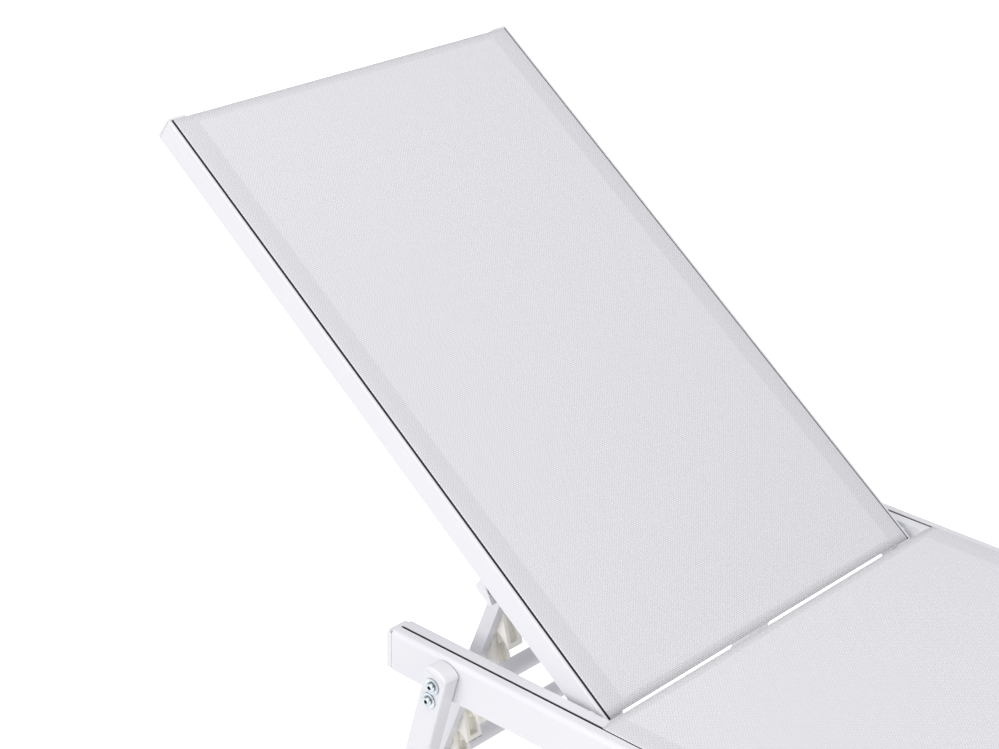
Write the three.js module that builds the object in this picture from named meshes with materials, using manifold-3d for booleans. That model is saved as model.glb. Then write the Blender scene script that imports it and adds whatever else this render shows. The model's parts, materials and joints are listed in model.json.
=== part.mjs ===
// Reclining sun lounger: an aluminium frame with two taut mesh slings.
// Millimetres, +Z up, +Y towards the head, +X towards the left hand of a person lying on it.
// The model is laid out with y = 0 on the backrest pivot and z = 0 on the ground, and is then
// centred on its own box, so that its origin is the middle of the box's bottom face.
import * as THREE from 'three';
import { mergeVertices } from 'three/addons/utils/BufferGeometryUtils.js';
import Module from 'manifold-3d';

const wasm = await Module();
wasm.setup();

// ---- Driving dimensions ----

const RAD = Math.PI / 180;
const GAP = 0.3; // between pieces that touch
const CUT_PAST = 1; // how far a cutting tool runs past the face that it opens

const OVERALL_WIDTH = 600; // over the two side rails
const RAIL_TOP_Z = 330; // top of the side rails above the ground
const RAIL_HEAD_Y = 242; // head end of the side rails, from the pivot
const SEAT_LENGTH = 1174; // from the pivot to the foot end of the side rails

const RAIL = { width: 29, height: 46, wall: 1.8, groove: 14.5, slot: 3.4, bead: 3.5, round: 5.5 };
const BACK_RAIL = { width: 25, height: 28, wall: 1.6, groove: 5.2, slot: 3.2, bead: 3, round: 1.5 };
const SIDE_CLEARANCE = 8; // between a side rail and the backrest rail beside it

const BACK_LENGTH = 780;
const BACK_ANGLE = 36.24 * RAD; // backrest above horizontal, as stored
const PIVOT_FROM_END = 12; // pivot to the lower end of a backrest rail
const PIVOT_DEPTH = 12.5; // pivot below the top face of a backrest rail
const PIVOT_DROP = 12; // pivot below the top face of a side rail
const PIVOT_BOLT_R = 3;
const PIVOT_HEAD = { radius: 6.5, thick: 3, edge: 1 };
const PIVOT_SPACER_R = 7;
const PIVOT_BOLT_REACH = 4; // past the inner wall of the side rail
const RUNNING_CLEARANCE = 0.3; // round a bolt or pin that something turns on

const LEG = { width: 30, depth: 20, wall: 1.6, round: 2.5 };
const LEG_SPLAY = 14.85 * RAD;
const LEG_TOP_DROP = 10.5; // end of a leg tube below the rail top, on its axis
const LEG_CROWN = 7.5; // height of a leg's domed cap
const HEAD_LEG_INSET = 82.5; // leg top from the head end of the rail
const FOOT_LEG_INSET = 150; // leg top from the foot end of the rail
const FOOT_HEIGHT = 18; // end of a leg tube above the ground, on its axis
const FOOT_SKIRT = 1.5; // how far a foot stands proud of its leg
const FOOT_PLUG = 16; // how far a foot reaches into its leg
const LEG_CAP_PLUG = 8; // how far a cap reaches into its leg, above the first screw
const PLUG_CLEARANCE = 0.4;
const PLUG_ROOT = 2; // how far a plug runs on into its own cap or foot
const LEAST_BORE_ROUND = 0.4; // corner radius inside a leg tube

const SCREW_R = 3;
const SCREW_HOLE_R = 3.2;
const SCREW_HEAD_R = 5.4;
const SCREW_HEAD_HEIGHT = 3.4;
const SCREW_SOCKET_R = 2.3;
const SCREW_SOCKET_DEPTH = 2;
const SCREW_SOCKET_RIM = 0.5; // flat ring round the socket
const SCREW_TIP = { chamfer: 0.5, length: 1 };
// Two points on a button head: shares of its height and of its radius.
const SCREW_CHEEK = { up: 0.45, out: 0.95 };
const SCREW_BROW = { up: 0.85, out: 0.72 };
const SCREW_REACH = 5; // past the rail wall that it bites in
const WASHER_R = 9;
const WASHER_THICK = 1.6;
const FIRST_SCREW = 12.5; // below the top end of the leg tube, along the leg
const SCREW_PITCH = 19;

const CROSS_TUBE = { radius: 11, wall: 1.5 };
const CROSS_TUBE_DROP = 31; // cross tube centre below the rail top
const MIDDLE_TUBE_BACK = 560; // middle cross tube, from the pivot towards the foot
const FOOT_TUBE_INSET = 32; // foot cross tube, from the foot end of the rail
const LATCH_BAR = { radius: 10, wall: 1.5 };
const LATCH_BAR_Y = 139; // latch bar, from the pivot towards the head
const LATCH_BAR_DROP = 31;

const BACK_TUBE = { radius: 8, wall: 1.3 };
const BACK_TUBE_DEPTH = 15; // below the top face of the backrest rails
const LOW_BACK_TUBE = 60; // from the pivot along the backrest
const HIGH_BACK_TUBE_INSET = 70; // from the head end of the backrest

const RAIL_CAP = { thick: 7, topDrop: 1.5, corner: 3, plugLength: 16 };
const BACK_CAP = { thick: 3, topDrop: 0.3, corner: 1.5, plugLength: 6 }; // clear of the pivot bolt

const BRACKET_Y = 166; // hinge bracket, from the pivot along the backrest
const BRACKET = { length: 27, height: 17.5, width: 21, round: 4, skin: 1.6 };
const HINGE_DEPTH = 8.5; // hinge pin below the underside of the backrest rail
const HINGE_PIN_R = 3;
const HINGE_HEAD = { radius: 5.5, thick: 3 };

const ARM_ANGLE = 20.4 * RAD; // arm from vertical, its lower end towards the head
const ARM = { width: 15, thick: 12, length: 253.8, clearance: 1 };
const RACK = { thick: 21, back: 7.5, top: 9, topReach: 9, reach: 29.5, fullFrom: 70, fullTo: 197 };
const NOTCH = { count: 6, first: 30, pitch: 38.4, radius: 8, depth: 12 };
const NOTCH_CUT_PAST = 10; // how far a notch's cutting tool runs past the rack's front edge
const NOTCH_REAR_ANGLE = 36 * RAD; // rear side of a notch, from the arm's axis
const NOTCH_FRONT_ANGLE = 60 * RAD; // front side of a notch, under the hook above it
const TIE_TUBE = { radius: 10, wall: 1.5 };
const TIE_TUBE_DOWN = 262.6; // tie tube below the hinge, along the arm
const TIE_TUBE_FORWARD = 6; // tie tube in front of the arm's axis
const TIE_EYE_WALL = 4;

const SLING_THICK = 1.2;
const SLING_LIFT = 0.4; // sling above the rail top that it lies on
const SLING_BEAD_CLEARANCE = 0.7;
const SEAT_SLING_HEAD = 29.5; // seat sling's head edge, from the pivot towards the foot
const SEAT_SLING_FOOT_INSET = 6;
const BACK_SLING_LOW_INSET = 1;
const BACK_SLING_HIGH_INSET = 0.5;

// ---- Derived places ----

const RAIL_OUTER_X = OVERALL_WIDTH / 2;
const RAIL_INNER_X = RAIL_OUTER_X - RAIL.width;
const BACK_OUTER_X = RAIL_INNER_X - SIDE_CLEARANCE;
const BACK_INNER_X = BACK_OUTER_X - BACK_RAIL.width;
const PIVOT_Z = RAIL_TOP_Z - PIVOT_DROP;
const ARM_OUTER_X = BACK_INNER_X - ARM.clearance;
const ARM_INNER_X = ARM_OUTER_X - ARM.thick;
const RACK_OUTER_X = ARM_INNER_X - GAP;
const RACK_INNER_X = RACK_OUTER_X - RACK.thick;
const BACK_UNDERSIDE = PIVOT_DEPTH - BACK_RAIL.height;

// ---- Materials ----

const paint = (color, roughness, metalness) =>
  new THREE.MeshStandardMaterial({ color, roughness, metalness });
const WHITE_COAT = paint(0xeeeef2, 0.42, 0.1);
const WHITE_PLASTIC = paint(0xe9e9ee, 0.5, 0);
const IVORY_PLASTIC = paint(0xeeebdf, 0.45, 0);
const ZINC = paint(0x9aa4ad, 0.3, 0.9);
const MESH_FABRIC = paint(0xdcdbe1, 0.85, 0);

// ---- Solids ----

function toSolid(geometry) {
  const bare = geometry.clone();
  bare.deleteAttribute('normal');
  bare.deleteAttribute('uv');
  const merged = mergeVertices(bare, 1e-4);
  const mesh = new wasm.Mesh({
    numProp: 3,
    vertProperties: new Float32Array(merged.attributes.position.array),
    triVerts: new Uint32Array(merged.index.array),
  });
  return new wasm.Manifold(mesh);
}

function toGeometry(solid) {
  const mesh = solid.getMesh();
  const geometry = new THREE.BufferGeometry();
  geometry.setAttribute('position', new THREE.BufferAttribute(mesh.vertProperties, 3));
  geometry.setIndex(new THREE.BufferAttribute(mesh.triVerts, 1));
  return geometry;
}

const cut = (geometry, tools) =>
  toGeometry(tools.reduce((solid, tool) => solid.subtract(toSolid(tool)), toSolid(geometry)));
const join = (geometry, added) =>
  toGeometry(added.reduce((solid, piece) => solid.add(toSolid(piece)), toSolid(geometry)));

function extrude(shape, length, curveSegments = 8) {
  return new THREE.ExtrudeGeometry(shape, { depth: length, bevelEnabled: false, curveSegments });
}

// A section drawn in x and z, run along y from low to high.
function alongY(shape, low, high, curveSegments) {
  const geometry = extrude(shape, high - low, curveSegments);
  geometry.rotateX(Math.PI / 2);
  geometry.translate(0, high, 0);
  return geometry;
}

// An outline drawn in y and z, run along x from low to high.
function alongX(shape, low, high, curveSegments) {
  const geometry = extrude(shape, high - low, curveSegments);
  const axes = new THREE.Matrix4().makeBasis(
    new THREE.Vector3(0, 1, 0), new THREE.Vector3(0, 0, 1), new THREE.Vector3(1, 0, 0));
  geometry.applyMatrix4(axes);
  geometry.translate(low, 0, 0);
  return geometry;
}

function box(xLow, xHigh, yLow, yHigh, zLow, zHigh) {
  const geometry = new THREE.BoxGeometry(xHigh - xLow, yHigh - yLow, zHigh - zLow);
  geometry.translate((xLow + xHigh) / 2, (yLow + yHigh) / 2, (zLow + zHigh) / 2);
  return geometry;
}

// A round rod along x, at y and z.
function rodX(radius, xLow, xHigh, y = 0, z = 0, segments = 16) {
  const geometry = new THREE.CylinderGeometry(radius, radius, xHigh - xLow, segments);
  geometry.rotateZ(Math.PI / 2);
  geometry.translate((xLow + xHigh) / 2, y, z);
  return geometry;
}

// A turned piece about x: profile points are [x, radius], from one end on the axis to the other.
function turnedX(profile, segments = 16) {
  const points = profile.map(([x, radius]) => new THREE.Vector2(radius, x));
  const geometry = new THREE.LatheGeometry(points, segments);
  geometry.rotateZ(-Math.PI / 2);
  return geometry;
}

// A round tube along x, open at both ends.
function tubeX({ radius, wall }, halfLength, y, z) {
  const ring = new THREE.Shape().absarc(y, z, radius, 0, 2 * Math.PI);
  ring.holes.push(new THREE.Path().absarc(y, z, radius - wall, 0, 2 * Math.PI));
  return alongX(ring, -halfLength, halfLength, 10);
}

function roundedRectangle(width, height, radius) {
  const right = width / 2;
  const top = height / 2;
  const shape = new THREE.Shape();
  shape.absarc(right - radius, top - radius, radius, 0, Math.PI / 2);
  shape.absarc(radius - right, top - radius, radius, Math.PI / 2, Math.PI);
  shape.absarc(radius - right, radius - top, radius, Math.PI, 1.5 * Math.PI);
  shape.absarc(right - radius, radius - top, radius, 1.5 * Math.PI, 2 * Math.PI);
  shape.closePath();
  return shape;
}

// ---- Assembly helpers ----

const lounger = new THREE.Group();

function add(parent, name, geometry, material) {
  const mesh = new THREE.Mesh(geometry, material);
  mesh.name = name;
  parent.add(mesh);
}

const SIDES = [['right', -1], ['left', 1]];

// A group that turns about x: the frame that an inclined piece is drawn in.
function inclined(y, z, angle, parent = lounger) {
  const group = new THREE.Group();
  group.position.set(0, y, z);
  group.rotation.x = angle;
  parent.add(group);
  return group;
}

function arcPoints(u, v, radius, from, to, steps) {
  const points = [];
  for (let i = 0; i <= steps; i += 1) {
    const angle = from + (to - from) * (i / steps);
    points.push([u + radius * Math.cos(angle), v + radius * Math.sin(angle)]);
  }
  return points;
}

// ---- Slotted rails ----

const CHAMBER_CORNER = 0.5; // height of the cut corner at the top of a rail's chamber

// Points are [distance in from the outer face, height above the top face].
const beadDepth = (rail) => rail.wall + Math.sqrt(rail.bead ** 2 - (rail.slot / 2) ** 2);
const bossBottom = (rail) => beadDepth(rail) + rail.bead + rail.wall;

function sideShape(points, side, outerX, topZ) {
  return new THREE.Shape(points.map(([u, v]) => new THREE.Vector2(side * (outerX - u), topZ + v)));
}

function railOutline(rail) {
  const depth = beadDepth(rail);
  const lip = Math.asin((depth - rail.wall) / rail.bead);
  return [
    [0, -rail.height],
    [rail.width, -rail.height],
    [rail.width, 0],
    [rail.groove + rail.slot / 2, 0],
    ...arcPoints(rail.groove, -depth, rail.bead, lip, -Math.PI - lip, 10),
    [rail.groove - rail.slot / 2, 0],
    ...arcPoints(rail.round, -rail.round, rail.round, Math.PI / 2, Math.PI, 4),
  ];
}

function slottedRail(rail, side, outerX, topZ, low, high, holes) {
  const body = alongY(sideShape(railOutline(rail), side, outerX, topZ), low, high);
  const inner = [
    [rail.wall, rail.wall - rail.height],
    [rail.width - rail.wall, rail.wall - rail.height],
    [rail.width - rail.wall, -rail.wall],
    [Math.max(rail.round, rail.wall), -rail.wall],
    [rail.wall, -Math.max(rail.round, rail.wall) - CHAMBER_CORNER],
  ];
  const bossRadius = rail.bead + rail.wall;
  const boss = [
    [rail.groove - bossRadius, 0],
    ...arcPoints(rail.groove, -beadDepth(rail), bossRadius, -Math.PI, 0, 10),
    [rail.groove + bossRadius, 0],
  ];
  const chamber = cut(
    alongY(sideShape(inner, side, outerX, topZ), low - CUT_PAST, high + CUT_PAST),
    [alongY(sideShape(boss, side, outerX, topZ), low - 2 * CUT_PAST, high + 2 * CUT_PAST)],
  );
  return cut(body, [chamber, ...holes]);
}

// A plate over the end of a rail, with a plug in its chamber. It faces +y when way is 1.
function railCap(rail, side, outerX, topZ, endY, way, { thick, topDrop, corner, plugLength }) {
  const face = endY + way * GAP;
  const width = rail.width;
  const height = rail.height - topDrop;
  const plate = roundedRectangle(width, height, corner);
  const centreX = side * (outerX - width / 2);
  const centreZ = topZ - topDrop - height / 2;
  const low = Math.min(face, face + way * thick);
  const geometry = alongY(plate, low, low + thick, 3);
  geometry.translate(centreX, 0, centreZ);
  const tip = endY - way * plugLength;
  const inset = rail.wall + PLUG_CLEARANCE;
  const sideA = side * (outerX - inset);
  const sideB = side * (outerX - width + inset);
  const plug = box(
    Math.min(sideA, sideB), Math.max(sideA, sideB),
    Math.min(tip, face + way * thick / 2), Math.max(tip, face + way * thick / 2),
    topZ - rail.height + inset, topZ - bossBottom(rail) - PLUG_CLEARANCE,
  );
  return join(geometry, [plug]);
}

// A taut sling between two rails: it crosses the rails' top faces and turns down into their slots.
function sling(rail, outerX, topZ, low, high) {
  const edge = outerX - rail.groove;
  const under = topZ + SLING_LIFT;
  const top = under + SLING_THICK;
  const half = SLING_THICK / 2;
  const bead = rail.bead - SLING_BEAD_CLEARANCE;
  const beadZ = topZ - beadDepth(rail);
  const open = Math.asin(half / bead);
  const corner = Math.PI / 2;
  const rightBead = arcPoints(edge, beadZ, bead, corner - open, open - 3 * corner, 8);
  const leftBead = rightBead.map(([x, z]) => [-x, z]).reverse();
  const points = [
    [edge + half, top],
    ...rightBead,
    [edge - half, under],
    [half - edge, under],
    ...leftBead,
    [-edge - half, top],
  ];
  return alongY(new THREE.Shape(points.map(([x, z]) => new THREE.Vector2(x, z))), low, high);
}

// ---- Side rails ----

const FOOT_END_Y = -SEAT_LENGTH;
const LEG_OUTER_X = RAIL_OUTER_X + GAP + LEG.depth;
const LEG_TOP_Z = RAIL_TOP_Z - LEG_TOP_DROP;
const LEGS = [
  { end: 'head', y: RAIL_HEAD_Y - HEAD_LEG_INSET, splay: LEG_SPLAY },
  { end: 'foot', y: FOOT_END_Y + FOOT_LEG_INSET, splay: -LEG_SPLAY },
];
const SCREW_DROPS = [FIRST_SCREW, FIRST_SCREW + SCREW_PITCH];

for (const [sideName, side] of SIDES) {
  const holes = [];
  for (const leg of LEGS) {
    for (const drop of SCREW_DROPS) {
      const y = leg.y + drop * Math.sin(leg.splay);
      const z = LEG_TOP_Z - drop * Math.cos(leg.splay);
      const outer = side * (RAIL_OUTER_X + CUT_PAST);
      const inner = side * (RAIL_OUTER_X - RAIL.wall - CUT_PAST);
      holes.push(rodX(SCREW_HOLE_R, Math.min(outer, inner), Math.max(outer, inner), y, z, 12));
    }
  }
  const boltOuter = side * (RAIL_INNER_X + RAIL.wall + CUT_PAST);
  const boltInner = side * (RAIL_INNER_X - CUT_PAST);
  const boltHoleR = PIVOT_BOLT_R + GAP;
  const boltLow = Math.min(boltOuter, boltInner);
  holes.push(rodX(boltHoleR, boltLow, Math.max(boltOuter, boltInner), 0, PIVOT_Z, 12));
  add(lounger, `side_rail_${sideName}`,
    slottedRail(RAIL, side, RAIL_OUTER_X, RAIL_TOP_Z, FOOT_END_Y, RAIL_HEAD_Y, holes), WHITE_COAT);
  for (const [end, endY, way] of [['head', RAIL_HEAD_Y, 1], ['foot', FOOT_END_Y, -1]]) {
    add(lounger, `rail_cap_${end}_${sideName}`,
      railCap(RAIL, side, RAIL_OUTER_X, RAIL_TOP_Z, endY, way, RAIL_CAP),
      WHITE_PLASTIC);
  }
}

// ---- Legs, with their caps, feet and screws ----

// A screw along x. Its head sits on the washer, and its tip is inside the side rail.
function legScrew(side, z) {
  const seat = LEG_OUTER_X + 2 * GAP + WASHER_THICK;
  const crown = seat + SCREW_HEAD_HEIGHT;
  const tip = RAIL_OUTER_X - RAIL.wall - SCREW_REACH;
  const profile = [
    [tip, 0],
    [tip, SCREW_R - SCREW_TIP.chamfer],
    [tip + SCREW_TIP.length, SCREW_R],
    [seat, SCREW_R],
    [seat, SCREW_HEAD_R],
    [seat + SCREW_HEAD_HEIGHT * SCREW_CHEEK.up, SCREW_HEAD_R * SCREW_CHEEK.out],
    [seat + SCREW_HEAD_HEIGHT * SCREW_BROW.up, SCREW_HEAD_R * SCREW_BROW.out],
    [crown, SCREW_SOCKET_R + SCREW_SOCKET_RIM],
    [crown, SCREW_SOCKET_R],
    [crown - SCREW_SOCKET_DEPTH, SCREW_SOCKET_R],
    [crown - SCREW_SOCKET_DEPTH, 0],
  ];
  return placeOnSide(turnedX(profile, 12), side, z);
}

function washer(side, z) {
  const low = LEG_OUTER_X + GAP;
  const high = low + WASHER_THICK;
  const profile = [
    [low, SCREW_HOLE_R],
    [low, WASHER_R],
    [high, WASHER_R],
    [high, SCREW_HOLE_R],
    [low, SCREW_HOLE_R],
  ];
  return placeOnSide(turnedX(profile, 16), side, z);
}

// A turned piece drawn on the +x side, turned half round to the -x side where side is -1.
function placeOnSide(geometry, side, z) {
  if (side < 0) geometry.rotateZ(Math.PI);
  geometry.translate(0, 0, z);
  return geometry;
}

for (const leg of LEGS) {
  const tubeLength = (LEG_TOP_Z - FOOT_HEIGHT) / Math.cos(leg.splay);
  const groundAt = (y) => (-LEG_TOP_Z - y * Math.sin(leg.splay)) / Math.cos(leg.splay);
  for (const [sideName, side] of SIDES) {
    const place = inclined(leg.y, LEG_TOP_Z, leg.splay);
    const centreX = side * (RAIL_OUTER_X + GAP + LEG.depth / 2);
    const name = `${leg.end}_${sideName}`;
    const section = roundedRectangle(LEG.depth, LEG.width, LEG.round);
    const bore = roundedRectangle(
      LEG.depth - 2 * LEG.wall, LEG.width - 2 * LEG.wall, Math.max(LEG.round - LEG.wall, LEAST_BORE_ROUND));
    section.holes.push(new THREE.Path(bore.getPoints(3)));
    const tube = extrude(section, tubeLength, 3);
    tube.translate(centreX, 0, -tubeLength);
    const holes = SCREW_DROPS.map((drop) =>
      rodX(SCREW_HOLE_R, centreX - LEG.depth, centreX + LEG.depth, 0, -drop, 12));
    add(place, `leg_${name}`, cut(tube, holes), WHITE_COAT);

    const crown = new THREE.Shape();
    crown.moveTo(-LEG.width / 2, GAP);
    crown.lineTo(LEG.width / 2, GAP);
    crown.absellipse(0, GAP, LEG.width / 2, LEG_CROWN, 0, Math.PI);
    const plugX = LEG.depth / 2 - LEG.wall - PLUG_CLEARANCE;
    const plugY = LEG.width / 2 - LEG.wall - PLUG_CLEARANCE;
    const capPlug = box(centreX - plugX, centreX + plugX, -plugY, plugY,
      -LEG_CAP_PLUG, GAP + PLUG_ROOT);
    const capBody = alongX(crown, centreX - LEG.depth / 2, centreX + LEG.depth / 2, 14);
    add(place, `leg_cap_${name}`, join(capBody, [capPlug]), WHITE_PLASTIC);

    const footY = LEG.width / 2 + FOOT_SKIRT;
    const footX = LEG.depth / 2 + FOOT_SKIRT;
    const footTop = -tubeLength - GAP;
    const sole = new THREE.Shape();
    sole.moveTo(-footY, groundAt(-footY));
    sole.lineTo(footY, groundAt(footY));
    sole.lineTo(footY, footTop);
    sole.lineTo(-footY, footTop);
    sole.closePath();
    const footPlug = box(centreX - plugX, centreX + plugX, -plugY, plugY,
      footTop - PLUG_ROOT, footTop + FOOT_PLUG);
    const footBody = alongX(sole, centreX - footX, centreX + footX);
    add(place, `foot_${name}`, join(footBody, [footPlug]), WHITE_PLASTIC);

    SCREW_DROPS.forEach((drop, index) => {
      add(place, `leg_screw_${name}_${index + 1}`, legScrew(side, -drop), ZINC);
      add(place, `leg_washer_${name}_${index + 1}`, washer(side, -drop), ZINC);
    });
  }
}

// ---- Tubes between the side rails, and the seat sling ----

const tubeHalf = RAIL_INNER_X - GAP;
const crossTubeZ = RAIL_TOP_Z - CROSS_TUBE_DROP;
add(lounger, 'seat_cross_tube_middle',
  tubeX(CROSS_TUBE, tubeHalf, -MIDDLE_TUBE_BACK, crossTubeZ), WHITE_COAT);
add(lounger, 'seat_cross_tube_foot',
  tubeX(CROSS_TUBE, tubeHalf, FOOT_END_Y + FOOT_TUBE_INSET, crossTubeZ), WHITE_COAT);
add(lounger, 'latch_bar',
  tubeX(LATCH_BAR, tubeHalf, LATCH_BAR_Y, RAIL_TOP_Z - LATCH_BAR_DROP), WHITE_COAT);
add(lounger, 'seat_sling',
  sling(RAIL, RAIL_OUTER_X, RAIL_TOP_Z, FOOT_END_Y + SEAT_SLING_FOOT_INSET, -SEAT_SLING_HEAD),
  MESH_FABRIC);

// ---- Pivot bolts and spacers ----

for (const [sideName, side] of SIDES) {
  const headSeat = BACK_INNER_X - GAP;
  const tip = RAIL_INNER_X + RAIL.wall + PIVOT_BOLT_REACH;
  const bolt = [
    [headSeat - PIVOT_HEAD.thick, 0],
    [headSeat - PIVOT_HEAD.thick, PIVOT_HEAD.radius - PIVOT_HEAD.edge],
    [headSeat - PIVOT_HEAD.thick + PIVOT_HEAD.edge, PIVOT_HEAD.radius],
    [headSeat, PIVOT_HEAD.radius],
    [headSeat, PIVOT_BOLT_R],
    [tip, PIVOT_BOLT_R],
    [tip, 0],
  ];
  const spacer = [
    [BACK_OUTER_X + GAP, PIVOT_BOLT_R + GAP],
    [BACK_OUTER_X + GAP, PIVOT_SPACER_R],
    [RAIL_INNER_X - GAP, PIVOT_SPACER_R],
    [RAIL_INNER_X - GAP, PIVOT_BOLT_R + GAP],
    [BACK_OUTER_X + GAP, PIVOT_BOLT_R + GAP],
  ];
  add(lounger, `pivot_bolt_${sideName}`, placeOnSide(turnedX(bolt), side, PIVOT_Z), ZINC);
  add(lounger, `pivot_spacer_${sideName}`, placeOnSide(turnedX(spacer), side, PIVOT_Z),
    WHITE_PLASTIC);
}

// ---- Backrest, drawn flat about its pivot ----

const backrest = inclined(0, PIVOT_Z, BACK_ANGLE);
const BACK_LOW_Y = -PIVOT_FROM_END;
const BACK_HIGH_Y = BACK_LENGTH - PIVOT_FROM_END;
const HINGE_Z = BACK_UNDERSIDE - HINGE_DEPTH;
const backTubeZ = PIVOT_DEPTH - BACK_TUBE_DEPTH;

for (const [sideName, side] of SIDES) {
  const holeInner = side * (BACK_INNER_X - CUT_PAST);
  const holeOuter = side * (BACK_OUTER_X + CUT_PAST);
  const low = Math.min(holeInner, holeOuter);
  const high = Math.max(holeInner, holeOuter);
  const pivotHole = rodX(PIVOT_BOLT_R + RUNNING_CLEARANCE, low, high);
  add(backrest, `backrest_rail_${sideName}`,
    slottedRail(BACK_RAIL, side, BACK_OUTER_X, PIVOT_DEPTH, BACK_LOW_Y, BACK_HIGH_Y, [pivotHole]),
    WHITE_COAT);
  for (const [end, endY, way] of [['head', BACK_HIGH_Y, 1], ['low', BACK_LOW_Y, -1]]) {
    add(backrest, `backrest_cap_${end}_${sideName}`,
      railCap(BACK_RAIL, side, BACK_OUTER_X, PIVOT_DEPTH, endY, way, BACK_CAP), WHITE_PLASTIC);
  }

  const bracketTop = BACK_UNDERSIDE - GAP;
  const bracketLow = BACK_UNDERSIDE - BRACKET.height;
  const reach = BRACKET.length / 2;
  const cheek = new THREE.Shape();
  cheek.moveTo(BRACKET_Y - reach, bracketTop);
  cheek.absarc(BRACKET_Y - reach + BRACKET.round, bracketLow + BRACKET.round, BRACKET.round,
    Math.PI, 1.5 * Math.PI);
  cheek.absarc(BRACKET_Y + reach - BRACKET.round, bracketLow + BRACKET.round, BRACKET.round,
    1.5 * Math.PI, 2 * Math.PI);
  cheek.lineTo(BRACKET_Y + reach, bracketTop);
  cheek.closePath();
  const bracketOuter = side * (BACK_INNER_X + BRACKET.width);
  const bracketLowX = Math.min(bracketOuter, side * BACK_INNER_X);
  const bracketHighX = Math.max(bracketOuter, side * BACK_INNER_X);
  const holeEnd = side * (BACK_INNER_X + BRACKET.width - BRACKET.skin);
  const holeStart = side * (BACK_INNER_X - CUT_PAST);
  const pinHole = rodX(HINGE_PIN_R + GAP, Math.min(holeStart, holeEnd), Math.max(holeStart, holeEnd),
    BRACKET_Y, HINGE_Z);
  add(backrest, `hinge_bracket_${sideName}`,
    cut(alongX(cheek, bracketLowX, bracketHighX, 4), [pinHole]), WHITE_COAT);

  const pinSeat = ARM_INNER_X - GAP;
  const pinTip = BACK_INNER_X + BRACKET.width - BRACKET.skin - GAP;
  const pin = [
    [pinSeat - HINGE_HEAD.thick, 0],
    [pinSeat - HINGE_HEAD.thick, HINGE_HEAD.radius],
    [pinSeat, HINGE_HEAD.radius],
    [pinSeat, HINGE_PIN_R],
    [pinTip, HINGE_PIN_R],
    [pinTip, 0],
  ];
  const pinGeometry = placeOnSide(turnedX(pin), side, HINGE_Z);
  pinGeometry.translate(0, BRACKET_Y, 0);
  add(backrest, `hinge_pin_${sideName}`, pinGeometry, ZINC);
}

const backTubeHalf = BACK_INNER_X - GAP;
add(backrest, 'backrest_cross_tube_low',
  tubeX(BACK_TUBE, backTubeHalf, LOW_BACK_TUBE, backTubeZ), WHITE_COAT);
add(backrest, 'backrest_cross_tube_high',
  tubeX(BACK_TUBE, backTubeHalf, BACK_HIGH_Y - HIGH_BACK_TUBE_INSET, backTubeZ), WHITE_COAT);
add(backrest, 'backrest_sling',
  sling(BACK_RAIL, BACK_OUTER_X, PIVOT_DEPTH, BACK_LOW_Y + BACK_SLING_LOW_INSET,
    BACK_HIGH_Y - BACK_SLING_HIGH_INSET),
  MESH_FABRIC);

// ---- Support arms with their racks, drawn hanging straight down from the hinge pins ----

const hingeY = BRACKET_Y * Math.cos(BACK_ANGLE) - HINGE_Z * Math.sin(BACK_ANGLE);
const hingeZ = PIVOT_Z + BRACKET_Y * Math.sin(BACK_ANGLE) + HINGE_Z * Math.cos(BACK_ANGLE);
const arms = inclined(hingeY, hingeZ, ARM_ANGLE);
// Points are [distance down the arm, distance in front of its axis].
const armShape = (points) =>
  new THREE.Shape(points.map(([down, front]) => new THREE.Vector2(-front, -down)));

function armOutline() {
  const half = ARM.width / 2;
  return armShape([
    ...arcPoints(0, 0, half, Math.PI / 2, 1.5 * Math.PI, 8),
    ...arcPoints(ARM.length, 0, half, -Math.PI / 2, Math.PI / 2, 8),
  ]);
}

// A notch opens downwards and forwards, round at its top and wider at its mouth.
function notchOutline(top) {
  const centre = [top + NOTCH.radius, NOTCH.depth];
  const mouth = RACK.reach + NOTCH_CUT_PAST;
  const rear = NOTCH_REAR_ANGLE - Math.PI / 2;
  const front = NOTCH_FRONT_ANGLE + Math.PI / 2;
  const arc = arcPoints(centre[0], centre[1], NOTCH.radius, front, rear + 2 * Math.PI, 8);
  const along = ([down, forward], angle) =>
    [down + (mouth - forward) / Math.tan(angle), mouth];
  return armShape([
    along(arc[0], NOTCH_FRONT_ANGLE),
    ...arc,
    along(arc[arc.length - 1], NOTCH_REAR_ANGLE),
  ]);
}

function rackOutline() {
  const eye = TIE_TUBE.radius + GAP + TIE_EYE_WALL;
  return armShape([
    [RACK.top, -RACK.back],
    [TIE_TUBE_DOWN, -RACK.back],
    ...arcPoints(TIE_TUBE_DOWN, TIE_TUBE_FORWARD, eye, -Math.PI / 3, Math.PI / 2, 8),
    [RACK.fullTo, RACK.reach],
    [RACK.fullFrom, RACK.reach],
    [RACK.top, RACK.topReach],
  ]);
}

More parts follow.
